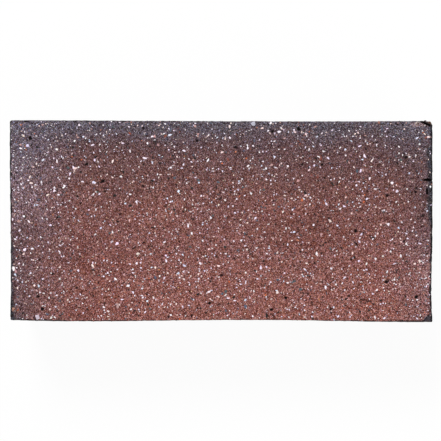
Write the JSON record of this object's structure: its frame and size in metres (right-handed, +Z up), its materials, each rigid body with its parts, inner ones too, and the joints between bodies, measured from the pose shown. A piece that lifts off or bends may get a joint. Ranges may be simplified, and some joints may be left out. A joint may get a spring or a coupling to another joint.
{
  "type": "concrete paving stone",
  "caption": "Rectangular pressed concrete paving block, twice as long as it is wide, with eased edges, slightly waving sides and a chipped corner.",
  "frame": {"origin": "centre of the bed face's bounding rectangle, on the ground", "axes": "+X along the length, +Y across the width, +Z up through the wearing face"},
  "size_m": [0.21, 0.1006, 0.06],
  "materials": {
    "concrete": "rough, blasted to show its chippings, brick red clouded with anthracite"
  },
  "bodies": {
    "root": {"paving_stone": "concrete"}
  },
  "joints": []
}
